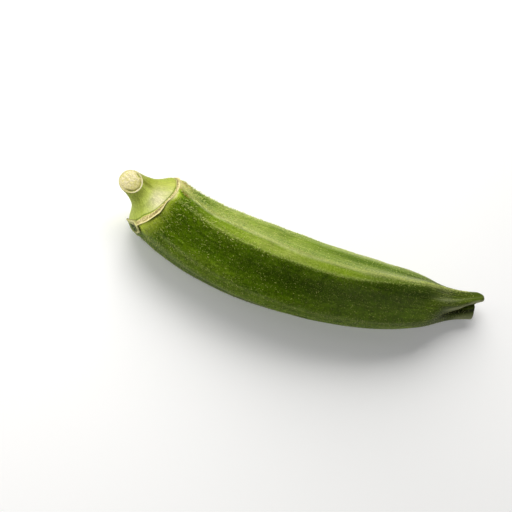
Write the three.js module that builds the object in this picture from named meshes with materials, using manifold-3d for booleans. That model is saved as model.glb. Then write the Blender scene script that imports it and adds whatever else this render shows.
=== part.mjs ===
// An okra pod, picked with a short cut stem, lying on its side. Millimetres, +Z up.
// The pod's own line (its axis) runs from the stem's cut to the beak. Stations along it are counted
// from the scar ring, minus toward the stem. Angles round it are in degrees, 0 up, plus toward +Y.
import * as THREE from 'three';
import { mergeVertices } from 'three/addons/utils/BufferGeometryUtils.js';
import Module from 'manifold-3d';

// Driving dimensions of the pod's line
const BODY_LENGTH = 105;
const STEM_LENGTH = 9.4;
const HEADING_AT_RING = -29.4;
const HEADING_CHANGE = 47.5;
const HEADING_POWER = 0.62;
const STEM_SIDE_BEND = 31;
const STEM_RISE = 30;
const STEM_BEND_POWER = 1.2;
const COLLAR_LIFT = 2.2;
const COLLAR_LIFT_ENDS = 22;
const MIDDLE_ARCH = 0.5;
const BEAK_STARTS = 84;
const BEAK_LIFT = 1.2;
const AXIS_STEP = 0.25;

// Radius to the rib crests: [station, radius]
const CREST_RADIUS = [[0, 9.3], [12, 10.1], [30, 11.2], [53, 10.8], [73, 9.5], [86, 7.6], [95, 5.1], [105, 3.2]];
const STEM_RADIUS = [[-9.4, 3.2], [-6.8, 3.7], [-4.2, 4.3], [-1.9, 6.9], [0, 9.3]];

// Five broad ribs. The top one wanders: [station, angle]
const TOP_RIB = [[0, 10], [14, 6], [40, 1], [72, 7], [105, 12]];
const NEAR_RIB = -76;
const NEAR_RIB_AT_RING = -72;
const LOWER_NEAR_RIB = -145;
const LOWER_FAR_RIB = 143;
const FAR_RIB = 69;
const FAR_RIB_AT_RING = 73;
const RIB_SETTLES_OVER = 22;
const RIB_HALF_WIDTH = 10;
const CORNER_SHARPNESS = 30;
const FACE_HOLLOW = [[0, 0.02], [15, 0.045], [70, 0.045], [90, 0.08], [105, 0.1]];

// The beak: five lobes with grooves between, turned against the body's ribs
const FIRST_LOBE = 45;
const LOBE_SPACING = 72;
const GROOVE_DEPTH = 0.36;
const SHALLOW_GROOVE = 9;
const SHALLOW_GROOVE_DEPTH = 0.12;
const LOBES_BEGIN = 80;
const LOBES_FULL = 99;
const BEAK_CAP = 1.6;
const NOSE_LENGTH = 3.2;
const NOSE_OFFSET = 1.5;
const NOSE_SPREAD = 1.25;
const NOSE_ROOT = 7;

// The stem's oblique cut: which way its face looks
const CUT_HEADING = 200;
const CUT_PITCH = 54;

// The scar ring: a crease at the cap's edge, a papery band and a raised lip
const CREASE_AT = -1.1;
const CREASE_DEPTH = 0.25;
const LIP_AT = 0.05;
const LIP_HEIGHT = 0.3;
const LIP_SWELL = 0.15;
const LIP_HIGHEST = -100;
const RIDGE_SPREAD = 0.3;

// A curled papery tongue that stands off the ring: [station, angle, height over the skin, radius]
const TONGUE = [
  [0, -104, -0.9, 0.45],
  [-0.7, -114, 0, 0.55],
  [-0.9, -122, 0.8, 0.55],
  [0.2, -129, 0.7, 0.55],
  [1.4, -134, 0.1, 0.5],
  [2.4, -138, -0.9, 0.45],
];

// How far the pod's underside is pressed flat where it rests
const REST_FLAT = 0.2;
const AXIS_CLEARANCE = 0.88;

// Mesh fineness
const COLUMNS = 60;
const TONGUE_STEPS = 10;
const TONGUE_SIDES = 8;
const SLIVER = 0.002;

const rad = THREE.MathUtils.degToRad;
const clamp = THREE.MathUtils.clamp;
const UP = new THREE.Vector3(0, 0, 1);

// A smooth curve through the knots, whose slope at each one follows its neighbours
function smooth(knots, x) {
  const last = knots.length - 1;
  const chord = (i) => (knots[i + 1][1] - knots[i][1]) / (knots[i + 1][0] - knots[i][0]);
  const slope = (i) => {
    if (i === 0) return chord(0);
    if (i === last) return chord(last - 1);
    const before = knots[i][0] - knots[i - 1][0];
    const after = knots[i + 1][0] - knots[i][0];
    return (chord(i - 1) * after + chord(i) * before) / (before + after);
  };
  let i = 0;
  while (i < last - 1 && x > knots[i + 1][0]) i += 1;
  const width = knots[i + 1][0] - knots[i][0];
  const t = clamp((x - knots[i][0]) / width, 0, 1);
  const rise = width * (slope(i) * t * (1 - t) ** 2 + slope(i + 1) * t * t * (t - 1));
  return knots[i][1] * (1 + 2 * t) * (1 - t) ** 2 + knots[i + 1][1] * t * t * (3 - 2 * t) + rise;
}

const ease = (t) => t * t * (3 - 2 * t);
const between = (x, low, high) => clamp((x - low) / (high - low), 0, 1);

// Height of the pod's line: what the ribs under it need, with the collar and beak raised a little
function axisHeight(s) {
  const collar = COLLAR_LIFT * (1 - between(s, 0, COLLAR_LIFT_ENDS)) ** 2;
  const arch = MIDDLE_ARCH * Math.sin(Math.PI * between(s, COLLAR_LIFT_ENDS, BEAK_STARTS)) ** 2;
  const beak = BEAK_LIFT * between(s, BEAK_STARTS, BODY_LENGTH) ** 2;
  return AXIS_CLEARANCE * smooth(CREST_RADIUS, s) + collar + arch + beak;
}

function bodyDirection(s) {
  const step = AXIS_STEP / 2;
  const low = Math.max(s - step, 0);
  const high = Math.min(s + step, BODY_LENGTH);
  const pitch = Math.asin((axisHeight(high) - axisHeight(low)) / (high - low));
  const heading = rad(HEADING_AT_RING + HEADING_CHANGE * (s / BODY_LENGTH) ** HEADING_POWER);
  return { heading, pitch };
}

function directionAt(s) {
  if (s >= 0) return bodyDirection(s);
  const ring = bodyDirection(0);
  const bend = (-s / STEM_LENGTH) ** STEM_BEND_POWER;
  return { heading: ring.heading + rad(STEM_SIDE_BEND) * bend, pitch: ring.pitch - rad(STEM_RISE) * bend };
}

const along = ({ heading, pitch }) => new THREE.Vector3(
  Math.cos(pitch) * Math.cos(heading), Math.cos(pitch) * Math.sin(heading), Math.sin(pitch));

// Walk the line both ways from the ring and keep a point every step
function walk(length, sign) {
  const steps = Math.round(length / AXIS_STEP);
  const size = length / steps;
  const points = [new THREE.Vector3(0, 0, axisHeight(0))];
  for (let i = 0; i < steps; i += 1) {
    const middle = along(directionAt(sign * (i + 0.5) * size));
    points.push(points[i].clone().addScaledVector(middle, sign * size));
  }
  return points;
}
const bodyPoints = walk(BODY_LENGTH, 1);
const stemPoints = walk(STEM_LENGTH, -1);

function axisPoint(s) {
  const [points, length] = s >= 0 ? [bodyPoints, BODY_LENGTH] : [stemPoints, STEM_LENGTH];
  const place = Math.min(Math.abs(s) / length, 1) * (points.length - 1);
  const i = Math.min(Math.floor(place), points.length - 2);
  return points[i].clone().lerp(points[i + 1], place - i);
}

// The line's own axes: along it, level toward +Y, and up across it
function frameAt(s) {
  const forward = along(directionAt(clamp(s, -STEM_LENGTH, BODY_LENGTH)));
  const side = new THREE.Vector3().crossVectors(UP, forward).normalize();
  const up = new THREE.Vector3().crossVectors(forward, side);
  return { forward, side, up };
}

function ribAngles(s) {
  const settled = 1 - Math.exp(-Math.max(s, 0) / RIB_SETTLES_OVER);
  return [
    smooth(TOP_RIB, s),
    THREE.MathUtils.lerp(NEAR_RIB_AT_RING, NEAR_RIB, settled),
    LOWER_NEAR_RIB,
    LOWER_FAR_RIB,
    THREE.MathUtils.lerp(FAR_RIB_AT_RING, FAR_RIB, settled),
  ];
}

// Ten flats, five on the ribs and five between them, blended into one rounded outline.
// The flats between the ribs are then hollowed. The crests have radius 1.
function ribbedOutline(s, angle) {
  const ribs = ribAngles(s);
  let sum = 0;
  let hollow = 0;
  const flat = (middle, reach) => {
    sum += (Math.max(Math.cos(rad(angle - middle)), 0) / reach) ** CORNER_SHARPNESS;
  };
  ribs.forEach((rib, k) => {
    const edge = rib - RIB_HALF_WIDTH;
    const gap = THREE.MathUtils.euclideanModulo(edge - ribs[(k + 1) % ribs.length] - RIB_HALF_WIDTH, 360);
    flat(rib, Math.cos(rad(RIB_HALF_WIDTH)));
    flat(edge - gap / 2, Math.cos(rad(gap / 2)));
    const across = THREE.MathUtils.euclideanModulo(edge - angle, 360) / gap;
    if (across < 1) hollow += Math.sin(Math.PI * across) ** 2;
  });
  return sum ** (-1 / CORNER_SHARPNESS) * (1 - smooth(FACE_HOLLOW, s) * hollow);
}

// The beak's outline: round lobes with V grooves, one of them shallow
function lobedOutline(angle) {
  const fromLobe = THREE.MathUtils.euclideanModulo(angle - FIRST_LOBE + LOBE_SPACING / 2, LOBE_SPACING);
  const across = Math.abs(fromLobe / LOBE_SPACING - 0.5) * 2;
  const fromShallow = THREE.MathUtils.euclideanModulo(angle - SHALLOW_GROOVE + 180, 360) - 180;
  const depth = Math.abs(fromShallow) < LOBE_SPACING / 2 ? SHALLOW_GROOVE_DEPTH : GROOVE_DEPTH;
  return 1 - depth * across ** 2;
}

function outline(s, angle) {
  if (s < 0) {
    const roundness = ease(between(-s, 0, 0.8 * STEM_LENGTH));
    return THREE.MathUtils.lerp(ribbedOutline(0, angle), 1, roundness);
  }
  const station = Math.min(s, BODY_LENGTH);
  return THREE.MathUtils.lerp(ribbedOutline(station, angle), lobedOutline(angle),
    ease(between(station, LOBES_BEGIN, LOBES_FULL)));
}

// The lip stands highest on the near side and thins out over the top of the pod
function ringDetail(s, angle) {
  const bump = (centre) => Math.exp(-(((s - centre) / RIDGE_SPREAD) ** 2));
  const lip = LIP_HEIGHT + LIP_SWELL * Math.cos(rad(angle - LIP_HIGHEST));
  return lip * bump(LIP_AT) - CREASE_DEPTH * bump(CREASE_AT);
}

function skinRadius(s, angle) {
  const base = s >= 0 ? smooth(CREST_RADIUS, Math.min(s, BODY_LENGTH)) : smooth(STEM_RADIUS, s);
  return base * outline(s, angle) + ringDetail(s, angle);
}

// A point off the line at a station, by angle and distance
function offAxis(s, angle, distance) {
  const { side, up } = frameAt(s);
  return axisPoint(s)
    .addScaledVector(up, distance * Math.cos(rad(angle)))
    .addScaledVector(side, distance * Math.sin(rad(angle)));
}

// The stem's last rings lean until the last one lies in the cut's plane
const cutNormal = along({ heading: rad(CUT_HEADING), pitch: rad(CUT_PITCH) });
function leanToCut(point, s) {
  const { forward } = frameAt(-STEM_LENGTH);
  const offPlane = point.clone().sub(axisPoint(-STEM_LENGTH)).dot(cutNormal) / forward.dot(cutNormal);
  const past = axisPoint(s).sub(axisPoint(-STEM_LENGTH)).dot(cutNormal) / forward.dot(cutNormal);
  return point.addScaledVector(forward, -(offPlane - past) * between(-s, 0.45 * STEM_LENGTH, STEM_LENGTH));
}

// One lobe of the beak runs on past the others as a blunt nose
function pushNose(point, s) {
  const { forward, side, up } = frameAt(s);
  const centre = offAxis(Math.min(s, BODY_LENGTH), FIRST_LOBE, NOSE_OFFSET);
  const offset = point.clone().sub(centre);
  const across = Math.hypot(offset.dot(side), offset.dot(up));
  const reach = NOSE_LENGTH * Math.exp(-((across / NOSE_SPREAD) ** 2) / 2);
  return point.addScaledVector(forward, reach * between(s, BODY_LENGTH - NOSE_ROOT, BODY_LENGTH) ** 2);
}

// Rings of points from the cut to the beak's end. Past BODY_LENGTH the rings shrink on a quarter round
function skinRing(s, shrink, push) {
  const { forward } = frameAt(s);
  return Array.from({ length: COLUMNS }, (unused, column) => {
    const angle = (column * 360) / COLUMNS;
    const point = offAxis(s, angle, skinRadius(s, angle) * shrink).addScaledVector(forward, push);
    return s < 0 ? leanToCut(point, s) : pushNose(point, s);
  });
}

const spread = (from, to, steps) => Array.from({ length: steps }, (unused, i) => from + ((to - from) * i) / steps);

const stations = [
  ...spread(-STEM_LENGTH, -1.6, 8),
  ...spread(-1.6, 0.6, 8),
  ...spread(0.6, LOBES_BEGIN, 25),
  ...spread(LOBES_BEGIN, BODY_LENGTH, 14),
];
const CAP_RINGS = 5;

function podGeometry() {
  const rings = stations.map((s) => skinRing(s, 1, 0));
  for (let i = 0; i < CAP_RINGS; i += 1) {
    const turn = (i / CAP_RINGS) * (Math.PI / 2);
    rings.push(skinRing(BODY_LENGTH, Math.cos(turn), BEAK_CAP * Math.sin(turn)));
  }
  const end = pushNose(axisPoint(BODY_LENGTH).addScaledVector(frameAt(BODY_LENGTH).forward, BEAK_CAP), BODY_LENGTH);
  return closedSkin(rings, axisPoint(-STEM_LENGTH), end);
}

// A closed skin over rings of equal size, with a point in the middle of each end
function closedSkin(rings, start, end) {
  const sides = rings[0].length;
  const points = [start, ...rings.flat(), end];
  const last = points.length - 1;
  const index = [];
  const at = (ring, column) => 1 + ring * sides + (column % sides);
  for (let column = 0; column < sides; column += 1) {
    index.push(0, at(0, column), at(0, column + 1));
    index.push(last, at(rings.length - 1, column + 1), at(rings.length - 1, column));
    for (let ring = 0; ring < rings.length - 1; ring += 1) {
      index.push(at(ring, column), at(ring + 1, column), at(ring + 1, column + 1));
      index.push(at(ring, column), at(ring + 1, column + 1), at(ring, column + 1));
    }
  }
  const geometry = new THREE.BufferGeometry().setFromPoints(points);
  geometry.setIndex(index);
  return geometry;
}

function tongueGeometry() {
  const centres = TONGUE.map(([s, angle, height]) => offAxis(s, angle, skinRadius(s, angle) + height));
  const curve = new THREE.CatmullRomCurve3(centres);
  const frames = curve.computeFrenetFrames(TONGUE_STEPS);
  const knots = TONGUE.map(([, , , radius], i) => [i / (TONGUE.length - 1), radius]);
  const rings = Array.from({ length: TONGUE_STEPS + 1 }, (unused, step) => {
    const t = step / TONGUE_STEPS;
    return Array.from({ length: TONGUE_SIDES }, (none, side) => {
      const turn = (side / TONGUE_SIDES) * 2 * Math.PI;
      return curve.getPoint(t)
        .addScaledVector(frames.binormals[step], smooth(knots, t) * Math.cos(turn))
        .addScaledVector(frames.normals[step], smooth(knots, t) * Math.sin(turn));
    });
  });
  return closedSkin(rings, curve.getPoint(0), curve.getPoint(1));
}

const wasm = await Module();
wasm.setup();

function toSolid(geometry) {
  const bare = geometry.clone();
  bare.deleteAttribute('normal');
  bare.deleteAttribute('uv');
  const merged = mergeVertices(bare);
  return new wasm.Manifold(new wasm.Mesh({
    numProp: 3,
    vertProperties: new Float32Array(merged.attributes.position.array),
    triVerts: new Uint32Array(merged.index.array),
  }));
}

// Back to a geometry, with the slivers that a cut leaves closed up
function toGeometry(solid) {
  const mesh = solid.getMesh();
  const cut = new THREE.BufferGeometry();
  cut.setAttribute('position', new THREE.BufferAttribute(mesh.vertProperties, 3));
  cut.setIndex(new THREE.BufferAttribute(mesh.triVerts, 1));
  const geometry = mergeVertices(cut, SLIVER);
  const old = geometry.index.array;
  const kept = [];
  for (let i = 0; i < old.length; i += 3) {
    const [a, b, c] = old.slice(i, i + 3);
    if (a !== b && b !== c && c !== a) kept.push(a, b, c);
  }
  geometry.setIndex(kept);
  geometry.computeVertexNormals();
  return geometry;
}

// Everything under the surface the pod lies on is pressed away, which leaves small flats on two ribs
function restingPod() {
  const grown = toSolid(podGeometry()).add(toSolid(tongueGeometry()));
  const surface = new THREE.BoxGeometry(400, 400, 20);
  surface.translate(0, 0, -10 + REST_FLAT);
  return toGeometry(grown.subtract(toSolid(surface)));
}

const okraPod = new THREE.Mesh(restingPod(), new THREE.MeshStandardMaterial({
  color: 0x5f8a2a,
  roughness: 0.65,
  metalness: 0,
}));
okraPod.name = 'okra_pod';

// Origin under the middle of the pod, on the surface. The line from ring to beak runs along +X
const tipway = axisPoint(BODY_LENGTH).sub(axisPoint(0));
okraPod.geometry.rotateZ(-Math.atan2(tipway.y, tipway.x));
okraPod.geometry.computeBoundingBox();
const box = okraPod.geometry.boundingBox;
const middle = box.getCenter(new THREE.Vector3());
okraPod.geometry.translate(-middle.x, -middle.y, -box.min.z);

const group = new THREE.Group();
group.add(okraPod);
export default group;
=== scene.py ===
import math
import bpy
import numpy as np
from mathutils import Matrix, Vector


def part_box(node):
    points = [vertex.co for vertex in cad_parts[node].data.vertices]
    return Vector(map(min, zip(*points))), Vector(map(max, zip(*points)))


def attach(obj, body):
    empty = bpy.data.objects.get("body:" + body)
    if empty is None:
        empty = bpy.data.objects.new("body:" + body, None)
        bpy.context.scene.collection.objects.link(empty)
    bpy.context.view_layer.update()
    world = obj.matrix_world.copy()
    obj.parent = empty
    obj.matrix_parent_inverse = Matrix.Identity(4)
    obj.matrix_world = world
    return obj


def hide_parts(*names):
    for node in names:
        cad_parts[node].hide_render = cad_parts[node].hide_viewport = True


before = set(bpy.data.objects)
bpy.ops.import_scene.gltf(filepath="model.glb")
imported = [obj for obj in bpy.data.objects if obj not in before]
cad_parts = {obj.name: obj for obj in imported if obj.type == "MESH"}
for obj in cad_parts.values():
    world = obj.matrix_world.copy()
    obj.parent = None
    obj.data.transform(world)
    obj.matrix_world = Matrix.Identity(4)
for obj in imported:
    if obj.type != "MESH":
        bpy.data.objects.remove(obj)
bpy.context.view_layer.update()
print("frame loaded")

mm = 0.001
mmPerDegree = 0.17  # round the scar ring
bumpHeight = 0.12  # of every bump, in millimetres

# The pod's own line, from the stem's cut to the beak. Lengths in millimetres, turns in degrees.
# Stations are counted from the scar ring, minus toward the stem. Angles round the line start at the top.
podLine = {
    "bodyLength": 105,
    "stemLength": 9.4,
    "headingAtRing": -29.4,
    "headingChange": 47.5,
    "headingPower": 0.62,
    "stemSideBend": 31,
    "stemRise": 30,
    "stemBendPower": 1.2,
    "collarLift": 2.2,
    "collarLiftEnds": 22,
    "middleArch": 0.5,
    "beakStarts": 84,
    "beakLift": 1.2,
    "clearance": 0.88,
    "pressedFlat": 0.2,
    "step": 0.25,
}

# How far the skin stands off the line, and how the ribs run
podForm = {
    "crestRadius": [(0, 9.3), (12, 10.1), (30, 11.2), (53, 10.8), (73, 9.5), (86, 7.6), (95, 5.1),
                    (105, 3.2)],
    "stemRadius": [(-9.4, 3.2), (-6.8, 3.7), (-4.2, 4.3), (-1.9, 6.9), (0, 9.3)],
    "topRib": [(0, 10), (14, 6), (40, 1), (72, 7), (105, 12)],
    "otherRibs": [(-72, -76), (-145, -145), (143, 143), (73, 69)],
    "ribSettlesOver": 22,
    "ribHalfWidth": 10,
    "cornerSharpness": 30,
    "faceHollow": [(0, 0.02), (15, 0.045), (70, 0.045), (90, 0.08), (105, 0.1)],
    "firstLobe": 45,
    "lobeSpacing": 72,
    "grooveDepth": 0.36,
    "shallowGroove": 9,
    "shallowGrooveDepth": 0.12,
    "lobesBegin": 80,
    "lobesFull": 99,
    "noseLength": 3.2,
    "noseOffset": 1.5,
    "noseSpread": 1.25,
    "noseRoot": 7,
    "cutHeading": 200,
    "cutPitch": 54,
    "creaseAt": -1.1,
    "creaseDepth": 0.25,
    "lipAt": 0.05,
    "lipHeight": 0.3,
    "lipSwell": 0.15,
    "lipHighest": -100,
    "ridgeSpread": 0.3,
    "roundFrom": 0.8,
    "leanFrom": 0.45,
}


def ease(t):
    return t * t * (3 - 2 * t)


def between(x, low, high):
    return np.clip((x - low) / (high - low), 0, 1)


def wrap(angle):
    return (angle + 180) % 360 - 180


def bell(x, centre, spread):
    return np.exp(-((x - centre) / spread) ** 2)


def inside(x, low, high, soft):
    # 1 between low and high, with an eased step at either end that is twice the soft value wide
    return ease(between(x, low - soft, low + soft)) * ease(between(-x, -high - soft, soft - high))


def unit(vectors):
    return vectors / np.linalg.norm(vectors, axis=-1, keepdims=True)


def knotCurve(knots, x):
    # A cubic through the knots: the slope at a knot is its neighbours' chords, weighed by their lengths
    x = np.asarray(x, float)
    at, value = np.array(knots, float).T
    width = np.diff(at)
    chord = np.diff(value) / width
    inner = (chord[:-1] * width[1:] + chord[1:] * width[:-1]) / (width[1:] + width[:-1])
    slope = np.concatenate([chord[:1], inner, chord[-1:]])
    i = np.clip(np.searchsorted(at, x) - 1, 0, len(width) - 1)
    t = np.clip((x - at[i]) / width[i], 0, 1)
    rise = width[i] * (slope[i] * t * (1 - t) ** 2 + slope[i + 1] * t * t * (t - 1))
    return value[i] * (1 + 2 * t) * (1 - t) ** 2 + value[i + 1] * t * t * (3 - 2 * t) + rise


def axisHeight(s):
    # Clearance times the crest radius, plus a lift that fades from the collar, a low arch and a lifted beak
    p = podLine
    collar = p["collarLift"] * (1 - between(s, 0, p["collarLiftEnds"])) ** 2
    arch = p["middleArch"] * np.sin(np.pi * between(s, p["collarLiftEnds"], p["beakStarts"])) ** 2
    beak = p["beakLift"] * between(s, p["beakStarts"], p["bodyLength"]) ** 2
    return p["clearance"] * knotCurve(podForm["crestRadius"], s) + collar + arch + beak


def direction(headingDegrees, pitchDegrees):
    h, k = np.radians(headingDegrees), np.radians(pitchDegrees)
    return np.stack([np.cos(k) * np.cos(h), np.cos(k) * np.sin(h), np.sin(k)], axis=-1)


def forwardAt(s):
    # The body's heading grows with a power of the station, its pitch is the slope of the height,
    # and the stem adds a bend to both that grows with a power of the way along it
    p = podLine
    s = np.asarray(s, float)
    body = np.clip(s, 0, p["bodyLength"])
    low = np.maximum(body - p["step"] / 2, 0)
    high = np.minimum(body + p["step"] / 2, p["bodyLength"])
    pitch = np.degrees(np.arcsin((axisHeight(high) - axisHeight(low)) / (high - low)))
    heading = p["headingAtRing"] + p["headingChange"] * (body / p["bodyLength"]) ** p["headingPower"]
    bend = np.clip(-s / p["stemLength"], 0, 1) ** p["stemBendPower"]
    return direction(heading + p["stemSideBend"] * bend, pitch - p["stemRise"] * bend)


def walkLine():
    # Sum of steps both ways from the ring, each along the direction in its middle
    def walk(length, sign):
        steps = round(length / podLine["step"])
        middles = (np.arange(steps) + 0.5) * length / steps
        moves = forwardAt(sign * middles) * sign * length / steps
        return np.vstack([np.zeros(3), np.cumsum(moves, axis=0)]) + [0, 0, float(axisHeight(0))]
    stem = walk(podLine["stemLength"], -1)[::-1]
    body = walk(podLine["bodyLength"], 1)
    places = np.concatenate([np.linspace(-podLine["stemLength"], 0, len(stem)),
                             np.linspace(0, podLine["bodyLength"], len(body))[1:]])
    return places, np.vstack([stem, body[1:]])


linePlaces, linePoints = walkLine()


def axisPoint(s):
    return np.stack([np.interp(s, linePlaces, linePoints[:, k]) for k in range(3)], axis=-1)


def lineFrame(s):
    # Forward along the line, side level and toward the hollow of the bend, up across both
    forward = forwardAt(s)
    side = unit(np.cross([0, 0, 1], forward))
    return forward, side, np.cross(forward, side)


def offLine(s, angle, distance):
    # The line's point, plus the distance turned from up toward the side
    _, side, up = lineFrame(s)
    turn = np.radians(angle)
    rise, shift = distance * np.cos(turn), distance * np.sin(turn)
    return axisPoint(s) + rise[..., None] * up + shift[..., None] * side


# What only the fine skin has: ribs that twist into the lobes of the beak, a top rib that sharpens on the
# way, and relief in millimetres. A place is a station and an angle, or an angle and a distance off the line
fineSkin = {
    "topRibUpper": [(0, 20), (14, 16), (25, 13), (40, 11), (55, 12), (65, 14), (72, 16), (80, 20), (88, 25),
                    (95, 34), (105, 47)],
    "topRibLower": [(0, 0), (14, -4), (25, -6), (40, -6), (55, -3.5), (65, 3), (72, 8), (80, 15), (88, 20.5),
                    (95, 30), (105, 43)],
    "twist": [(0, 0), (62, 0), (72, 2), (88, 10), (95, 16), (105, 24)],
    "swell": 0.09,
    "swellLength": 34,
    "swellCount": 9,
    "ribLineHeight": 0.1,
    "ribLineWidth": 2.2,
    "fibres": 0.022,
    "fibreCount": 8,
    "creaseBefore": 0.1,
    "shoulderDepth": 0.4,
    "shoulderReach": 1.3,
    "capRoundsOver": 2.6,
    "stemRadius": [(-9.4, 3.0), (-7.4, 3.25), (-5.4, 3.8), (-3.8, 4.7), (-2.4, 6.3), (-1.2, 8.3), (0, 9.3)],
    "cornerSharpness": [(0, 22), (20, 30), (45, 26), (70, 16), (105, 14)],
    "ringRound": 0.3,
    "ringRoundReach": 2.5,
    "pocketDepth": 0.5,
    "pocketPlace": (0.7, -123),
    "pocketReach": (1.3, 12),
    "flapHeight": 0.45,
    "flapPlace": (1.0, -145),
    "flapReach": (1.9, 12),
    "nosePlace": (34, 2.25),
    "noseWideAt": -20,
    "noseWide": 1.5,
    "noseTip": (25, 1.5),
    "nosePush": 3.9,
    "noseReach": 1.95,
    "noseEdge": 0.05,
    "noseRound": 2.2,
    "noseRoundPower": 2.5,
    "noseTaper": 0.08,
    "beakCap": 0.6,
    "lowerLobeBulge": 1.9,
    "lowerLobe": (-106, 26),
    "shiftedGroove": (-34, 34),
    "grooves": (-61, -135, 153, 81),
    "grooveShift": [(84, 15), (99, 15), (103, 30), (105, 30)],
    "stemShift": (-0.45, 0.24, -0.62),
    "paleLine": [(0, 22), (5, 20), (10, 17), (22, 16.5), (30, 14), (38, 11), (46, 11.5), (54, 13), (60, 14),
                 (65, 18), (75, 22), (80, 22.5), (85, 20.5), (92, 30), (105, 47)],
    "beakHighlight": [(84, -38), (95.8, -34), (99, -31), (101, -28), (103, -20), (105, -14)],
    "middleLine": [(84, -5), (88, -7), (92.5, -5), (98, -2), (102, 7), (105, 13)],
}


def ribAngles(s, fine=True):
    # The top rib follows its knots, the others go from their angle at the ring to the one they settle at
    f = podForm
    settled = 1 - np.exp(-np.maximum(s, 0) / f["ribSettlesOver"])
    top, twist = knotCurve(f["topRib"], s), 0
    if fine:
        top = (knotCurve(fineSkin["topRibUpper"], s) + knotCurve(fineSkin["topRibLower"], s)) / 2
        twist = knotCurve(fineSkin["twist"], s)
    return [top] + [first + (last - first) * settled + twist for first, last in f["otherRibs"]]


def topRibHalf(s):
    return (knotCurve(fineSkin["topRibUpper"], s) - knotCurve(fineSkin["topRibLower"], s)) / 2


def ribbedOutline(s, angle, fine=True):
    # Ten flats, five on the ribs and five between. The cosine from each flat's middle, over the cosine of
    # its half width, is raised to a power p, and the radius is the minus p-th root of their sum. The flats
    # between the ribs then sink by a squared sine across them
    f = podForm
    ribs = ribAngles(s, fine)
    halves = [topRibHalf(s) if fine else f["ribHalfWidth"] + 0 * s] + [f["ribHalfWidth"]] * 4
    total, hollow = 0, 0
    sharpness = knotCurve(fineSkin["cornerSharpness"], s) if fine else f["cornerSharpness"]
    for k, rib in enumerate(ribs):
        edge = rib - halves[k]
        gap = (edge - ribs[(k + 1) % 5] - halves[(k + 1) % 5]) % 360
        for middle, reach in ((rib, halves[k]), (edge - gap / 2, gap / 2)):
            facing = np.maximum(np.cos(np.radians(angle - middle)), 0)
            total = total + (facing / np.cos(np.radians(reach))) ** sharpness
        across = ((edge - angle) % 360) / gap
        hollow = hollow + np.where(across < 1, np.sin(np.pi * np.clip(across, 0, 1)) ** 2, 0)
    return total ** (-1 / sharpness) * (1 - knotCurve(f["faceHollow"], s) * hollow), hollow


def lobedOutline(s, angle, fine=False):
    # Lobes of radius 1 with grooves between that deepen with the square of the way from the lobe's middle.
    # On the fine skin one groove is shifted up, more toward its end, and the shallow one is smooth
    f, spacing = podForm, podForm["lobeSpacing"]
    if fine:
        groove, spread = fineSkin["shiftedGroove"]
        angle = angle - knotCurve(fineSkin["grooveShift"], s) * bell(wrap(angle - groove), 0, spread)
    across = np.abs(((angle - f["firstLobe"] + spacing / 2) % spacing) / spacing - 0.5) * 2
    shallow = np.abs(wrap(angle - f["shallowGroove"])) < spacing / 2
    valley = ease(across) if fine else across ** 2
    return 1 - np.where(shallow, f["shallowGrooveDepth"] * valley, f["grooveDepth"] * across ** 2)


def skinOutline(s, angle, fine=False):
    # Round at the stem, ribbed along the body, lobed at the beak, with eased blends between
    f = podForm
    ribbed, _ = ribbedOutline(np.clip(s, 0, None), angle, fine)
    roundness = ease(between(-s, 0, f["roundFrom"] * podLine["stemLength"]))
    if fine:
        q = fineSkin
        roundness = q["ringRound"] * np.exp(-np.maximum(s, 0) / q["ringRoundReach"])
        roundness = roundness + (1 - roundness) * ease(between(-s, 0, q["capRoundsOver"]))
    lobes = ease(between(s, f["lobesBegin"], f["lobesFull"]))
    return (ribbed * (1 - roundness) + roundness) * (1 - lobes) + lobedOutline(s, angle, fine) * lobes


# The scar round the collar: angle, then the station where it starts, where its lip stands, and its height
scarLine = {
    "start": [(-180, -0.9), (-150, -0.95), (-130, -1), (-110, -1.15), (-90, -1.5), (-70, -1.8),
              (-60, -1.65), (-40, -1.2), (-20, -1), (0, -0.9), (15, -0.85), (30, -0.8), (50, -0.8),
              (75, -0.85), (180, -0.9)],
    "lip": [(-180, -0.2), (-160, -0.3), (-140, -0.6), (-110, -0.85), (-85, -0.8), (-75, -0.85), (-60, -0.5),
            (-45, -0.1), (-36, -0.05), (-28, -0.2), (-20, -0.55), (-14, -0.7), (-8, -0.5), (0, -0.3),
            (22, -0.3), (40, -0.4), (60, -0.45), (120, -0.3), (180, -0.2)],
    "height": [(-180, 0.3), (-150, 0.15), (-110, 0.15), (-90, 0.4), (-60, 0.5), (-35, 0.5), (-20, 0.3),
               (-8, 0.12), (20, 0.12), (30, 0.2), (45, 0.25), (60, 0.3), (80, 0.25), (180, 0.3)],
}


def ringDetail(s, angle, fine=False):
    # A raised lip and a sunk crease, both bell curves of the station. The fine skin has the crease alone, at
    # the scar's start, because its lip is a piece of its own
    f = podForm
    if fine:
        start = knotCurve(scarLine["start"], wrap(angle))
        return -f["creaseDepth"] * bell(s, start - fineSkin["creaseBefore"], f["ridgeSpread"])
    lip = f["lipHeight"] + f["lipSwell"] * np.cos(np.radians(angle - f["lipHighest"]))
    crease = f["creaseDepth"] * bell(s, f["creaseAt"], f["ridgeSpread"])
    return lip * bell(s, f["lipAt"], f["ridgeSpread"]) - crease


def baseRadius(s, fine=False):
    stem = (fineSkin if fine else podForm)["stemRadius"]
    return np.where(s >= 0, knotCurve(podForm["crestRadius"], np.clip(s, 0, podLine["bodyLength"])),
                    knotCurve(stem, np.clip(s, -podLine["stemLength"], 0)))


def waves(s, angle, seed, longest, count, height):
    # A sum of waves that close up round the pod, each with a random length, turn, phase and share of height
    rng = np.random.default_rng(seed)
    total = 0
    for _ in range(count):
        length = longest * rng.uniform(0.25, 1)
        turns = rng.integers(-5, 6)
        share, phase = rng.uniform(0.4, 1), rng.uniform(0, 2 * np.pi)
        total = total + share * np.cos(2 * np.pi * s / length + turns * np.radians(angle) + phase)
    return total * height / math.sqrt(count)


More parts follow.
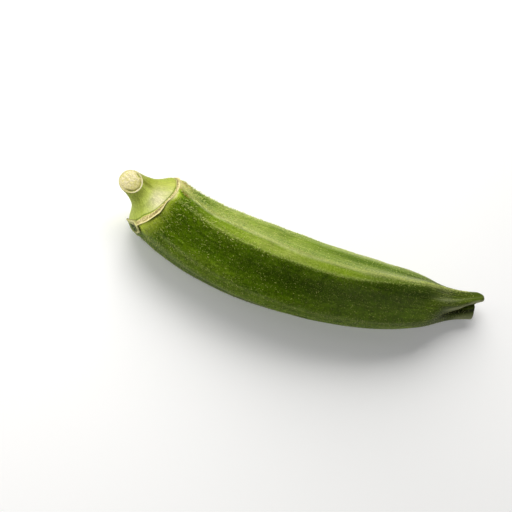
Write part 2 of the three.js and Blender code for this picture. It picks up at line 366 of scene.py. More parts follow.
def shoulder(s):
    # The skin sinks toward the ring, by an exponential that falls off on both sides of it
    return -fineSkin["shoulderDepth"] * np.exp(-np.abs(s) / fineSkin["shoulderReach"])


def spotAt(s, angle, name):
    # A bell curve of the station times one of the angle
    place, reach = fineSkin[name + "Place"], fineSkin[name + "Reach"]
    return bell(s, place[0], reach[0]) * bell(wrap(angle - place[1]), 0, reach[1])


def fineRelief(s, angle):
    # Slow swells, thin raised lines on both edges of each rib, fine fibres that run with the line, a bulge on
    # the beak's lower lobe, and the pocket and flap behind the tongue
    q = fineSkin
    bodyS = np.clip(s, 0, None)
    swell = waves(s, angle, 3, q["swellLength"], q["swellCount"], q["swell"])
    relief = swell * ease(between(s, 0.8, 5)) * (1 - 0.6 * between(s, 80, 100))
    lineShows = between(s, 4, 18) * (1 - between(s, 84, 96))
    for k, rib in enumerate(ribAngles(bodyS)):
        half = topRibHalf(bodyS) if k == 0 else podForm["ribHalfWidth"]
        line = bell(np.abs(wrap(angle - rib)), half, q["ribLineWidth"])
        relief = relief + q["ribLineHeight"] * line * lineShows
    rng = np.random.default_rng(8)
    for _ in range(q["fibreCount"]):
        turns, length = rng.integers(24, 80), rng.uniform(25, 70)
        share, phase = rng.uniform(0.3, 1), rng.uniform(0, 6.3)
        fibre = np.cos(turns * np.radians(angle) + 2 * np.pi * s / length + phase)
        relief = relief + q["fibres"] * share * fibre * between(np.abs(s + 0.6), 1, 4)
    middle, spread = q["lowerLobe"]
    relief = relief + q["lowerLobeBulge"] * between(s, 94, 106) ** 2 * bell(wrap(angle - middle), 0, spread)
    flap = q["flapHeight"] * spotAt(s, angle, "flap")
    return relief - q["pocketDepth"] * spotAt(s, angle, "pocket") + flap + shoulder(s)


cutNormal = direction(podForm["cutHeading"], podForm["cutPitch"])


def stemShift(s):
    # The fine skin's stem leans a little more: its end is moved along the line's own directions, the rest
    # less, by the square of the way along the stem
    ends = lineFrame(np.array(-podLine["stemLength"]))
    move = sum(share * way for share, way in zip(fineSkin["stemShift"], ends))
    return move * (between(-s, 0, podLine["stemLength"]) ** 2)[..., None]


def skinPoint(s, angle, height=0.0, shrink=1.0, push=0.0, fine=True):
    # Off the line by the skin's radius. The stem's end leans until it lies in the cut's plane, and one lobe
    # of the beak is pushed on along the line: by a bell curve round its middle, or by a soft step if fine
    f, length, stem = podForm, podLine["bodyLength"], podLine["stemLength"]
    s, angle = np.broadcast_arrays(np.asarray(s, float), np.asarray(angle, float))
    radius = baseRadius(s, fine) * skinOutline(s, angle, fine) + ringDetail(s, angle, fine)
    if fine:
        radius = radius + fineRelief(s, angle)
    forward, side, up = lineFrame(s)
    point = offLine(s, angle, (radius + height) * shrink) + forward * np.asarray(push)[..., None]
    cutForward = forwardAt(np.array(-stem))
    slide = (point - axisPoint(s)) @ cutNormal / (cutForward @ cutNormal)
    point = point - cutForward * (slide * between(-s, f["leanFrom"] * stem, stem))[..., None]
    if fine:
        point = point + stemShift(s)
    def awayFrom(turn, distance):
        offset = point - offLine(s, np.full(s.shape, float(turn)), np.full(s.shape, float(distance)))
        return (offset * side).sum(-1)[..., None] * side + (offset * up).sum(-1)[..., None] * up
    grown = between(s, length - f["noseRoot"], length) ** 2
    if not fine:
        across = np.linalg.norm(awayFrom(f["firstLobe"], f["noseOffset"]), axis=-1)
        reach = f["noseLength"] * np.exp(-across ** 2 / f["noseSpread"] ** 2 / 2) * grown
        return point + forward * reach[..., None]
    q = fineSkin
    inward = awayFrom(*q["nosePlace"])
    turn = math.radians(q["noseWideAt"])
    wide = (inward * (side * math.sin(turn) + up * math.cos(turn))).sum(-1)
    away = np.sqrt(np.maximum((inward ** 2).sum(-1) - wide ** 2 * (1 - q["noseWide"] ** -2), 0))
    inNose = grown / (1 + np.exp(np.clip((away - q["noseReach"]) / q["noseEdge"], -30, 30)))
    fromTip = np.linalg.norm(awayFrom(*q["noseTip"]), axis=-1) / q["noseReach"]
    reach = np.maximum(q["nosePush"] - q["noseRound"] * fromTip ** q["noseRoundPower"], 0) * inNose
    return point - inward * (q["noseTaper"] * inNose)[..., None] + forward * reach[..., None]


def place(points):
    # The line from ring to beak is turned along +X, and the pod slid so that its box is centred where the
    # frame's is, and lowered by what its underside is pressed flat
    return (points - [*resting["slide"], podLine["pressedFlat"]]) @ resting["turn"].T


def settle():
    # The turn that brings the beak's end over the X axis, and the slide between the two boxes' middles. The
    # pod's box is read from rings along the plain form and one ring of its rounded end
    length = float(podLine["bodyLength"])
    toBeak = axisPoint(np.array(length)) - axisPoint(np.array(0.0))
    turn = -math.atan2(toBeak[1], toBeak[0])
    cosine, sine = math.cos(turn), math.sin(turn)
    turnMatrix = np.array([[cosine, -sine, 0], [sine, cosine, 0], [0, 0, 1]])
    around = np.arange(0, 360, 3.0)
    s, angle = np.meshgrid(np.linspace(-podLine["stemLength"], length, 460), around, indexing="ij")
    end = np.full(around.shape, length)
    cap = skinPoint(end, around, shrink=0.4, push=0 * end + 1.5, fine=False)
    points = np.vstack([skinPoint(s, angle, fine=False).reshape(-1, 3), cap]) @ turnMatrix.T
    low, high = np.array(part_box("okra_pod")) / mm
    slide = (points.min(0) + points.max(0) - low - high)[:2] / 2
    return {"turn": turnMatrix, "slide": slide @ turnMatrix[:2, :2]}


resting = settle()
print("line walked, pod slid by", np.round(resting["slide"], 2))


def onSurface(points, gap=0.02):
    # Placed, and held a hair's breadth above the surface where the pod is pressed flat
    points = place(points)
    points[..., 2] = np.maximum(points[..., 2], gap)
    return points


def addAttribute(mesh, name, values):
    values = np.asarray(values, float)
    kind, field = ("FLOAT", "value") if values.ndim == 1 else ("FLOAT_VECTOR", "vector")
    mesh.attributes.new(name, kind, "POINT").data.foreach_set(field, values.ravel())


def newObject(name, data):
    thing = bpy.data.objects.new(name, data)
    bpy.context.scene.collection.objects.link(thing)
    return thing


def newPiece(name, points, faces, material, **attributes):
    mesh = bpy.data.meshes.new(name)
    mesh.from_pydata((np.asarray(points) * mm).tolist(), [], faces)
    mesh.polygons.foreach_set("use_smooth", np.ones(len(mesh.polygons), bool))
    for key, values in attributes.items():
        addAttribute(mesh, key, values)
    mesh.materials.append(material)
    mesh.update()
    piece = newObject(name, mesh)
    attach(piece, "root")
    print(name, len(mesh.polygons), "faces")
    return piece


def tubeFaces(rows, columns, poles=True):
    # Quads between rings of equal size, with a fan to one point at each end where there are poles.
    # The start's point comes after the rings, then the end's
    row, column = np.meshgrid(np.arange(rows - 1), np.arange(columns), indexing="ij")
    after = (column + 1) % columns
    quads = np.stack([row * columns + column, (row + 1) * columns + column,
                      (row + 1) * columns + after, row * columns + after], axis=-1).reshape(-1, 4).tolist()
    if not poles:
        return quads
    ring = np.arange(columns)
    nextOne = (ring + 1) % columns
    start, end, last = rows * columns, rows * columns + 1, (rows - 1) * columns
    return (quads + np.stack([np.full(columns, start), ring, nextOne], axis=-1).tolist()
            + np.stack([np.full(columns, end), last + nextOne, last + ring], axis=-1).tolist())


# Shader helpers. A socket given as an input is linked, anything else is set on the node's own socket
def srgb(red, green, blue):
    linear = [c / 255 / 12.92 if c <= 10 else ((c / 255 + 0.055) / 1.055) ** 2.4 for c in (red, green, blue)]
    return (*linear, 1)


def addNode(tree, kind, inputs=None, **settings):
    node = tree.nodes.new("ShaderNode" + kind)
    for key, value in settings.items():
        setattr(node, key, value)
    for key, value in (inputs or {}).items():
        if isinstance(value, bpy.types.NodeSocket):
            tree.links.new(value, node.inputs[key])
        else:
            node.inputs[key].default_value = value
    return node


def mixed(tree, factor, first, second, blend="MIX"):
    node = addNode(tree, "Mix", {0: factor, 6: first, 7: second}, data_type="RGBA", blend_type=blend)
    return node.outputs[2]


def calc(tree, operation, first, second=0.0):
    return addNode(tree, "Math", {0: first, 1: second}, operation=operation, use_clamp=False).outputs[0]


def remap(tree, value, low, high, toLow=0.0, toHigh=1.0):
    return addNode(tree, "MapRange", {0: value, 1: low, 2: high, 3: toLow, 4: toHigh}).outputs[0]


def stretched(tree, vector, scale):
    return addNode(tree, "Mapping", {"Vector": vector, "Scale": scale}).outputs[0]


def noise(tree, vector, scale, detail=4.0, roughness=0.55, distortion=0.0):
    inputs = {"Vector": vector, "Scale": scale, "Detail": detail, "Roughness": roughness}
    return addNode(tree, "TexNoise", {**inputs, "Distortion": distortion}).outputs["Fac"]


def readAttribute(tree, name, output="Fac"):
    return addNode(tree, "Attribute", attribute_name=name).outputs[output]


def newMaterial(name, settings):
    material = bpy.data.materials.new(name)
    material.use_nodes = True
    tree = material.node_tree
    shader = tree.nodes["Principled BSDF"]
    for key, value in settings.items():
        shader.inputs[key].default_value = value
    return material, tree, shader


def wire(tree, shader, color, relief=None, strength=0.7):
    # The colour goes straight to the shader, the relief through a bump
    tree.links.new(color, shader.inputs["Base Color"])
    if relief is not None:
        bump = addNode(tree, "Bump", {"Strength": strength, "Distance": bumpHeight * mm, "Height": relief})
        tree.links.new(bump.outputs[0], shader.inputs["Normal"])


# Colours of the skin as the eye reads them in even light, with painted light and shade among them: the
# crests, the top facet, the beak's highlights and the near side of halo and cap are lighter as painted light;
# the hollows, the crease, the grooves, the pocket, the cap's far side and part of the beak are painted shade
skinLook = {
    "deepGreen": srgb(70, 100, 0),
    "midGreen": srgb(90, 120, 4),
    "lightGreen": srgb(118, 144, 34),
    "litCrestGreen": srgb(118, 144, 16),
    "litTopPale": srgb(170, 178, 94),
    "ribLine": srgb(214, 222, 154),
    "beakHighlight": srgb(192, 198, 146),
    "halo": srgb(158, 178, 52),
    "haloPale": srgb(208, 208, 130),
    "litHaloNear": srgb(212, 232, 72),
    "capGreen": srgb(153, 158, 68),
    "capPale": srgb(190, 186, 147),
    "capDeep": srgb(136, 150, 38),
    "litCapNear": srgb(172, 188, 84),
    "crease": srgb(74, 92, 22),
    "hollow": srgb(52, 76, 0),
    "tan": srgb(200, 192, 124),
    "stain": srgb(138, 92, 30),
    "pocket": srgb(44, 66, 20),
    "tailGrey": srgb(126, 131, 90),
    "beakOlive": srgb(80, 96, 18),
    "beakDeep": srgb(46, 60, 6),
    "litCapStem": srgb(196, 210, 96),
    "shadedCapFar": srgb(128, 138, 44),
    "groove": srgb(34, 42, 12),
}


skinShader = {
    "Roughness": 0.5,
    "Specular IOR Level": 0.09,
    "Specular Tint": (0.95, 1, 0.4, 1),
    "Sheen Weight": 0.16,
    "Sheen Roughness": 0.4,
    "Sheen Tint": (1, 0.93, 0.45, 1),
}

# Noise over the skin: its scale along the pod as a share of the rest, scale, detail, roughness, distortion
skinPatterns = {
    "blotch": (0.4, 3.2, 5, 0.55, 0),
    "streak": (0.1, 9, 4, 0.55, 0),
    "grain": (0.7, 24, 3, 0.65, 0),
    "fibre": (0.09, 26, 3, 0.6, 0),
    "fuzz": (1, 60, 2, 0.7, 0),
    "speck": (1, 22, 3, 0.8, 0),
    "dapple": (0.6, 9, 3, 0.6, 0),
    "rust": (1, 12, 4, 0.7, 0),
    "capStreak": (0.35, 5.5, 5, 0.6, 0.6),
}


def skinMaterial():
    look = skinLook
    material, tree, shader = newMaterial("okraSkin", skinShader)
    flow = readAttribute(tree, "flow", "Vector")
    pattern = {}
    for name, (share, *settings) in skinPatterns.items():
        pattern[name] = noise(tree, stretched(tree, flow, (share, 1, 1)), *settings)
    # a pattern's range from low to high becomes least to most. A mark is thinned by it, or a colour mottled
    mark = lambda name: readAttribute(tree, name)
    level = lambda name, low, high, least=0, most=1: remap(tree, pattern[name], low, high, least, most)
    thinned = lambda amount, *levels: calc(tree, "MULTIPLY", amount, level(*levels))
    mottled = lambda color, amount, *levels: mixed(tree, amount, color, level(*levels), "MULTIPLY")
    painted = lambda color, amount, name: mixed(tree, amount, color, look[name])
    # mottling and streaks that run with the pod
    color = painted(look["deepGreen"], level("blotch", 0.36, 0.62), "midGreen")
    color = painted(color, level("streak", 0.5, 0.75, 0, 0.25), "lightGreen")
    color = painted(color, level("grain", 0.5, 0.68, 0, 0.5), "lightGreen")
    # faces sink into a duller green as painted shade, crests and the top facet are brighter as painted light,
    # and the ribs' edges carry pale broken lines
    color = painted(color, thinned(mark("hollow"), "blotch", 0.3, 0.55, 0.55), "hollow")
    litCrestColor = painted(look["litCrestGreen"], level("grain", 0.42, 0.66, 0, 0.3), "litTopPale")
    color = mixed(tree, thinned(mark("litCrest"), "grain", 0.34, 0.6, 0.45), color, litCrestColor)
    top = thinned(mark("litTopPale"), "fibre", 0.38, 0.6, 0.25)
    color = painted(color, thinned(top, "fuzz", 0.35, 0.65, 0.6), "litTopPale")
    line = thinned(mark("ribLine"), "fibre", 0.34, 0.54, 0.8)
    color = painted(color, thinned(line, "fuzz", 0.35, 0.62, 0.8), "ribLine")
    color = mottled(color, mark("rough"), "speck", 0.32, 0.68, 0.5, 1.5)
    color = mottled(color, mark("rough"), "dapple", 0.34, 0.66, 0.76, 1.26)
    color = painted(color, thinned(mark("tail"), "fuzz", 0.36, 0.62, 0.45), "tailGrey")
    # beak turns olive and darker, partly its own colour and partly painted shade, with painted highlights on
    # its lobes and painted shade in the grooves between them
    beakColor = painted(look["beakDeep"], level("streak", 0.4, 0.62), "beakOlive")
    offLines = remap(tree, mark("ribLine"), 0, 0.8, 1, 0.35)
    color = mixed(tree, calc(tree, "MULTIPLY", mark("beak"), offLines), color, beakColor)
    color = mottled(color, mark("beak"), "grain", 0.34, 0.64, 0.7, 1.4)
    color = painted(color, thinned(mark("beakHighlight"), "fuzz", 0.36, 0.6, 0.6), "beakHighlight")
    color = painted(color, mark("groove"), "groove")
    # pale halo under the ring with a broken edge, painted lighter on the near side as painted light, a tan
    # patch at the knot, a stained line, and painted shade in the pocket behind the tongue over a darker green
    # of its own
    haloEdge = calc(tree, "ADD", mark("halo"), level("grain", 0.3, 0.7, -0.2, 0.2))
    color = painted(color, remap(tree, haloEdge, 0.15, 0.6), "halo")
    haloTop = painted(look["haloPale"], mark("litCapNear"), "litHaloNear")
    color = mixed(tree, remap(tree, haloEdge, 0.6, 1.0), color, haloTop)
    color = painted(color, thinned(mark("tan"), "blotch", 0.3, 0.55, 0.5), "tan")
    color = painted(color, thinned(mark("stain"), "rust", 0.32, 0.48), "stain")
    color = painted(color, mark("pocket"), "pocket")
    # cap: yellow-green with a pale sheet and streaks that run to the stem; painted light on its near side and
    # beside the stem, and painted shade on its far side
    cap = painted(look["capDeep"], level("capStreak", 0.35, 0.6), "capGreen")
    cap = painted(cap, thinned(mark("litCapNear"), "capStreak", 0.3, 0.6, 0.4), "litCapNear")
    cap = painted(cap, mark("shadedCapFar"), "shadedCapFar")
    cap = painted(cap, mark("litCapStem"), "litCapStem")
    cap = painted(cap, thinned(mark("capPale"), "capStreak", 0.28, 0.5, 0.6), "capPale")
    cap = mottled(cap, 1.0, "speck", 0.32, 0.68, 0.72, 1.28)
    cap = mottled(cap, 1.0, "dapple", 0.34, 0.66, 0.92, 1.08)
    color = mixed(tree, mark("cap"), color, cap)
    # painted shade in the crease before the scar, and a painted shadow under the scar's lip
    color = painted(color, mark("crease"), "crease")
    # fine grain and fibres in the surface
    grain = calc(tree, "MULTIPLY", pattern["grain"], 0.5)
    streak = calc(tree, "MULTIPLY", pattern["streak"], 0.8)
    wire(tree, shader, color, calc(tree, "ADD", grain, streak), 0.5)
    return material


def skinMarks(s, angle):
    # Where each colour of the skin belongs, as bell curves and eased steps of the station and the angle
    bodyS = np.clip(s, 0, None)
    away = [wrap(angle - rib) for rib in ribAngles(bodyS)]
    half = topRibHalf(bodyS)
    beak = ease(between(s, 75, 95))
    valley = bell(angle, 42, 9) * between(s, 40, 60)
    start, lip = (knotCurve(scarLine[key], wrap(angle)) for key in ("start", "lip"))

    # crests, as painted light: the top rib's, which faces the light, wider below near the ring, a little on
    # the other ribs', and a brighter flank of the near rib
    litTopCrest = inside(away[0] / half, -0.9 - 0.35 * bell(s, 14, 9), 1.1, 0.5)
    litTopCrest = litTopCrest * between(s, 5, 16.5) * (1 - 0.8 * between(s, 54, 66))
    litNearFlank = 0.4 * inside(angle, -66, -50, 6) * inside(s, 11, 26, 4)
    litCrest = litTopCrest + 0.35 * sum(inside(a, -9, 9, 3) for a in away[1:]) + litNearFlank

    # pale lines: the clear one along the top rib, and faint ones on the edges of the ribs
    fromLine = wrap(angle - knotCurve(fineSkin["paleLine"], s))
    above = 3.6 + 1.4 * between(s, 14, 30)
    below = 3.2 - 0.8 * between(s, 24, 38) + 0.8 * bell(s, 60, 5)
    clear = 1.15 - 0.68 * between(s, 24, 38) - 0.2 * between(s, 56, 72) + 0.35 * bell(s, 86, 3)
    lines = clear * bell(fromLine, 0, np.where(fromLine > 0, above, below))
    lines = lines + 0.1 * bell(away[0], 1.5 - half, 2.4) * (1 - between(s, 60, 75))
    edges = sum(bell(a, 9, 2.6) + bell(a, -9, 2.6) for a in away[1:])
    lines = lines + (0.08 + 0.1 * (1 - between(s, 8, 18))) * edges
    farEdge = bell(away[4], -13 + 5 * between(s, 66, 74), 4.5) * between(s, 6, 20)
    lines = lines + (0.12 + 0.2 * between(s, 44, 56)) * farEdge

    # the beak's lines: a pale one down the nose's middle, a painted highlight along the nose's lower edge,
    # painted light on the lower lobe, and painted shade in the grooves between its lobes
    middleLine = bell(angle, knotCurve(fineSkin["middleLine"], s), 5) * ease(between(s, 82, 91))
    noseHighlight = bell(angle, knotCurve(fineSkin["beakHighlight"], s), 7) * between(s, 88, 96)
    lowerLobe = bell(angle, -92, 15) * between(s, 96, 100)
    beakHighlights = (0.8 - 0.6 * between(s, 88, 100)) * middleLine + 2 * noseHighlight + 1.2 * lowerLobe
    grooves = sum(bell(wrap(angle - at), 0, 9) for at in fineSkin["grooves"]) * between(s, 90, 98)

    # painted light: the facet behind the top rib, turned to the light, painted paler for the sheen of its
    # fuzz, beside the ring too, and under the line where that is dim
    facet = inside(angle, 22, 80, 9) * between(s, 9, 16) * (0.72 - 0.7 * valley)
    besideRing = inside(angle, 30, 80, 6) * inside(s, 1, 6, 2)
    underLine = 0.7 * bell(s, 34, 10) * inside(angle, -3, 11, 3)
    farSide = 1 - 0.5 * inside(angle, 42, 90, 6) * between(s, 22, 56)
    duller = 1 - 0.25 * between(s, 22, 34) * inside(angle, 20, 90, 6) - 0.2 * between(s, 40, 60)
    litTopPale = (facet + besideRing + underLine) * farSide * duller * (1 - 0.9 * between(s, 74, 94))

    # greyer skin toward the beak, behind the line and a little on the near face
    behindLine = inside(angle, 8 + 8 * between(s, 62, 74), 30 + 9 * between(s, 74, 80), 6)
    tail = 0.85 * between(s, 50, 72) * (behindLine + 0.6 * inside(angle, 54, 90, 5))
    tail = tail + 0.15 * inside(angle, -75, -12, 8) * between(s, 40, 56)

    # painted shade in a duller green: the sunk faces, most on the near side, which is turned from the light,
    # with a painted shadow at mid-length, the top rib's crests at the ring and at the beak, and the valley
    _, sunk = ribbedOutline(bodyS, angle)
    nearSide = 0.1 + (0.6 + 0.25 * bell(s, 40, 9)) * inside(angle, -140, 0, 6)
    faces = np.sqrt(np.clip(sunk, 0, 1)) * between(s, 2.5, 6) * (1 - beak) * nearSide
    hollow = faces * (0.5 + 0.5 * between(s, 12, 30))
    hollow = hollow + 0.4 * inside(away[0], -12, 9, 3) * inside(s, 2, 12, 2)
    hollow = hollow + 0.3 * inside(angle, 28, 50, 6) * inside(s, 6, 9, 1.5)
    shadedCrestEnd = inside(angle, -8, 10 + 4 * between(s, 66, 78), 4) * between(s, 56, 65)
    hollow = hollow + 0.75 * shadedCrestEnd * (1 - between(s, 84, 94))
    hollow = hollow + (0.5 + 0.5 * between(s, 70, 84)) * valley

    # round the ring: a halo that falls off from the lip, painted lighter on the near side as painted light,
    # painted shade in the crease and a painted shadow under the lip, and the stain beside the knot
    fade = 0.3 + 0.15 * inside(angle, -90, 10, 10) + 1.22 * bell(angle, 3, 18)
    halo = np.exp(-np.clip(s - lip, 0, None) / (0.35 + 0.72 * bell(angle, 2, 22))) * fade * (s > start)
    litNearHalo = 0.4 * inside(angle, -95, -10, 8) + 0.5 * inside(angle, -95, -42, 9) + 0.4 * bell(angle, -28, 8)
    halo = halo + litNearHalo * np.exp(-(bodyS / 2.4) ** 1.5)
    crease = bell(s, start - 0.17, 0.17) * (0.35 + 0.6 * inside(angle, -125, -42, 8))
    crease = crease + 0.7 * bell(s, lip + 0.42, 0.17) * inside(angle, -104, -14, 8)
    stain = bell(angle, 16.5 + 17 * np.exp(-bodyS / 0.9), 2.3) * inside(s, 0, 3.8, 0.9)
    stain = stain + bell(s, 2.8, 1.8) * bell(angle, 59, 8)

    # the cap: a pale sheet and a pale patch by the cut, and painted shade on the far side and on top toward
    # the stem
    capPale = bell(s, -2.6, 2.6) * bell(angle, -20, 32) + 0.5 * bell(s, -8.6, 1.4) * bell(angle, 62, 26)
    shadedCapFar = 0.6 * ease(between(angle, 24, 60)) * inside(angle, 20, 150, 10)
    shadedCapFar = shadedCapFar + 0.55 * bell(angle, 3, 13) * between(-s, 5, 7.2)
    return {
        "flow": np.stack([s / 10, np.cos(np.radians(angle)), np.sin(np.radians(angle))], axis=-1),
        "litCrest": litCrest * between(s, 1.5, 8) * (1 - 0.7 * beak),
        "litTopPale": litTopPale,
        "ribLine": np.clip(lines * between(s, 1.5, 5) * (1 - 0.6 * beak), 0, 1),
        "beakHighlight": np.clip(0.5 * beakHighlights, 0, 0.85),
        "tail": tail * (1 - 0.8 * beak),
        "rough": 1 - 0.6 * inside(angle, -4, 90, 6) * between(s, 6, 14) * (1 - between(s, 80, 95)),
        "groove": np.clip(grooves, 0, 1),
        "hollow": hollow,
        # the beak's darker olive, partly its own colour and partly painted shade
        "beak": 0.9 * beak,
        "halo": halo,
        "tan": 0.9 * bell(s, 0.3, 3.4) * inside(angle, 24, 66, 6),
        "cap": ease(between(start - s, 0.05, 0.25)),
        "capPale": np.clip(capPale, 0, 1),
        # painted light on the cap's near side toward the stem
        "litCapStem": ease(between(-s, 4.6, 6.6)) * inside(angle, -74, -8, 10),
        "shadedCapFar": shadedCapFar,
        # painted light on the near side of the cap and of the halo
        "litCapNear": 0.85 * ease(between(-angle, 0, 40)) * inside(angle, -170, 30, 20),
        "crease": np.clip(crease, 0, 1),
        "stain": np.clip(stain, 0, 1),
        # painted shade in the pocket behind the tongue, over a darker green of its own
        "pocket": np.clip(1.5 * spotAt(s, angle, "pocket"), 0, 1) ** 1.5,
    }


# Rings of the skin as start, end and how many, up to the last ones, which reach the beak's end
skinGrid = {
    "columns": 230,
    "rings": [(-9.4, -1.6, 40), (-1.6, 0.6, 26), (0.6, 80, 230), (80, 98, 40)],
    "lastRings": (98, 50),
    "capRings": 29,
}


def buildSkin():
    # Rings of the skin from the cut to the beak, denser at the ring, and a quarter round that closes the beak
    g = skinGrid
    length, stem = float(podLine["bodyLength"]), podLine["stemLength"]
    stations = [np.linspace(low, high, count, endpoint=False) for low, high, count in g["rings"]]
    stations = np.concatenate([*stations, np.linspace(g["lastRings"][0], length, g["lastRings"][1])])
    angles = wrap(np.arange(g["columns"]) * 360 / g["columns"])
    s, angle = np.meshgrid(stations, angles, indexing="ij")
    quarter = (np.arange(g["capRings"]) + 1)[:, None] * np.pi / 2 / (g["capRings"] + 1)
    endS = np.full((g["capRings"], g["columns"]), length)
    endAngle = np.broadcast_to(angles, endS.shape)
    push = fineSkin["beakCap"] * np.sin(quarter) + 0 * endS
    cap = skinPoint(endS, endAngle, shrink=np.cos(quarter), push=push)
    rings = np.vstack([skinPoint(s, angle), cap])
    start = axisPoint(np.array(-stem)) + stemShift(np.array(-stem))
    end = cap[-1].mean(0)
    points = onSurface(np.vstack([rings.reshape(-1, 3), start[None], end[None]]))
    allS = np.concatenate([s.ravel(), endS.ravel(), [-stem, length]])
    allAngle = np.concatenate([angle.ravel(), endAngle.ravel(), [0, 0]])
    faces = tubeFaces(len(rings), g["columns"])
    return newPiece("podSkin", points, faces, skinMaterial(), **skinMarks(allS, allAngle))


podSkin = buildSkin()
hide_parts("okra_pod")

# Scar ring: a papery web with striations that ends in a raised lip, with a knot on the far side
bandShape = {
    "columns": 600,
    "webRows": 20,
    "backRows": 10,
    "thickness": 0.16,
    "webRelief": 0.12,
    "lipRound": 0.2,
    "overhang": 0.22,
    "fray": 0.05,
    "knotAngle": 48,
    "knotReach": 5,
    "knotHeight": 0.45,
    "footDepth": 0.3,
    "edgeSwell": 0.1,
    "tuck": 0.42,
    "tuckDepth": 0.4,
}
bandLook = {
    "shadow": srgb(132, 116, 58),
    "paper": srgb(206, 196, 136),
    "lip": srgb(216, 208, 150),
    "fleck": srgb(140, 96, 46),
    "green": srgb(150, 168, 84),
    # painted shade on the band's tucked edge, in its gap and under the tongue, also the colour of a stain on
    # the far side
    "under": srgb(70, 60, 24),
}


def bandMaterial():
    look = bandLook
    material, tree, shader = newMaterial("paperyScar", {"Roughness": 0.65, "Specular IOR Level": 0.25})
    along = readAttribute(tree, "strip", "Vector")
    striation = noise(tree, stretched(tree, along, (1.2, 2.6, 1)), 1.4, 4, 0.7, 0.6)
    fleck = noise(tree, along, 1.6, 3, 0.6)
    color = mixed(tree, remap(tree, striation, 0.42, 0.6), look["shadow"], look["paper"])
    color = mixed(tree, readAttribute(tree, "lip"), color, look["lip"])
    color = mixed(tree, remap(tree, fleck, 0.6, 0.7, 0, 0.6), color, look["fleck"])
    # a green tint, then painted shade with the far stain
    for name in ("green", "under"):
        color = mixed(tree, readAttribute(tree, name), color, look[name])
    wire(tree, shader, color, striation)
    return material


def buildBand():
    # A closed section carried round the ring. It leaves the crease, runs as a low web to the lip, rises there
    # by a bell curve, turns over its edge and comes back under the skin. Waves fray its edge, and one more
    # bell curve of the angle makes the knot
    q = bandShape
    columns = q["columns"]
    step = np.arange(columns)[None]
    angle, along = wrap(step * 360 / columns), 0.1 * step
    start, lip, tall = (knotCurve(scarLine[key], angle) for key in ("start", "lip", "height"))
    lip = lip + waves(along, 0 * angle, 21, 6, 14, q["fray"])
    t = np.linspace(0, 1, q["webRows"])[:, None]
    wide = lip + q["overhang"] * tall - start
    fromLip = wide * (1 - t)
    top = start + wide * t
    rise = q["thickness"] * between(t, 0, 0.12) + tall * bell(fromLip, 0, q["lipRound"])
    rise = rise + waves(along + 0 * t, 90 * t, 4, 3, 10, q["webRelief"] * q["thickness"])
    knot = q["knotHeight"] * bell(wrap(angle - q["knotAngle"]), 0, q["knotReach"])
    rise = rise + knot * np.sin(np.pi * between(t, 0.1, 1)) - q["footDepth"] * (t == 0)
    u = np.linspace(0, 1, q["backRows"] + 1)[1:, None]
    edge = top[-1:] + q["edgeSwell"] * np.sin(np.pi * u) - q["tuck"] * u ** 2 * np.minimum(wide, 1)
    fall = rise[-1:] * (1 - u) - q["tuckDepth"] * u
    station, height = np.vstack([top, edge]), np.vstack([rise, fall])
    rows, around = len(station), np.broadcast_to(angle, station.shape)
    points = skinPoint(station, around, height=height - ringDetail(station, angle, True))
    faces = [[k % (rows * columns) for k in face] for face in tubeFaces(rows + 1, columns, poles=False)]
    strip = np.stack([around * mmPerDegree + 0.3 * station, station, 0 * station], axis=-1)
    lipMark = np.vstack([bell(fromLip, 0, 0.22), between(1 - u, 0.5, 0.8) + 0 * wide])
    # painted shade in the gap by the tongue and on the tucked underside, and a stain on the far side
    gap = 0.75 * bell(wrap(angle + 99), 0, 5)
    farStain = bell(angle, 40, 24) * (0.4 * bell(t, 0, 0.12) + 0.14)
    underMark = np.vstack([gap + farStain, np.maximum(between(u, 0.15, 0.5), gap)])
    greenMark = 0.6 * np.exp(-(wrap(angle + 128) / 20) ** 4) + 0 * station
    return newPiece("scarBand", onSurface(points.reshape(-1, 3)), faces, bandMaterial(),
                    strip=strip.reshape(-1, 3), lip=lipMark.ravel(), under=underMark.ravel(),
                    green=greenMark.ravel())


scarBand = buildBand()

# The tongue that has come off the ring: a horn that curls round a pocket, and the pocket's thin far edge.
# Routes as station, angle, height over the skin
tongueShape = {
    "scarTongue": {
        "route": [(-1.2, -147, 1.05), (-1.35, -135, 0.6), (-1.5, -122, 0.45), (-1.5, -106, 0.5),
                  (-1.25, -95, 0.55), (-0.75, -90, 0.6), (0, -89, 0.6), (0.7, -93, 0.55),
                  (1.25, -108, 0.45), (1.6, -121, 0.3), (1.5, -130, -0.1)],
        "halfWidth": 0.34,
        "green": 0.3,
    },
    "tongueEdge": {
        "route": [(-1.2, -147, 1.0), (-0.7, -149, 0.7), (-0.1, -149, 0.45), (0.8, -147, 0.3),
                  (1.8, -144, 0.25), (2.8, -140, 0.15), (3.8, -136, -0.1)],
        "halfWidth": 0.15,
        "green": 0.75,
    },
}


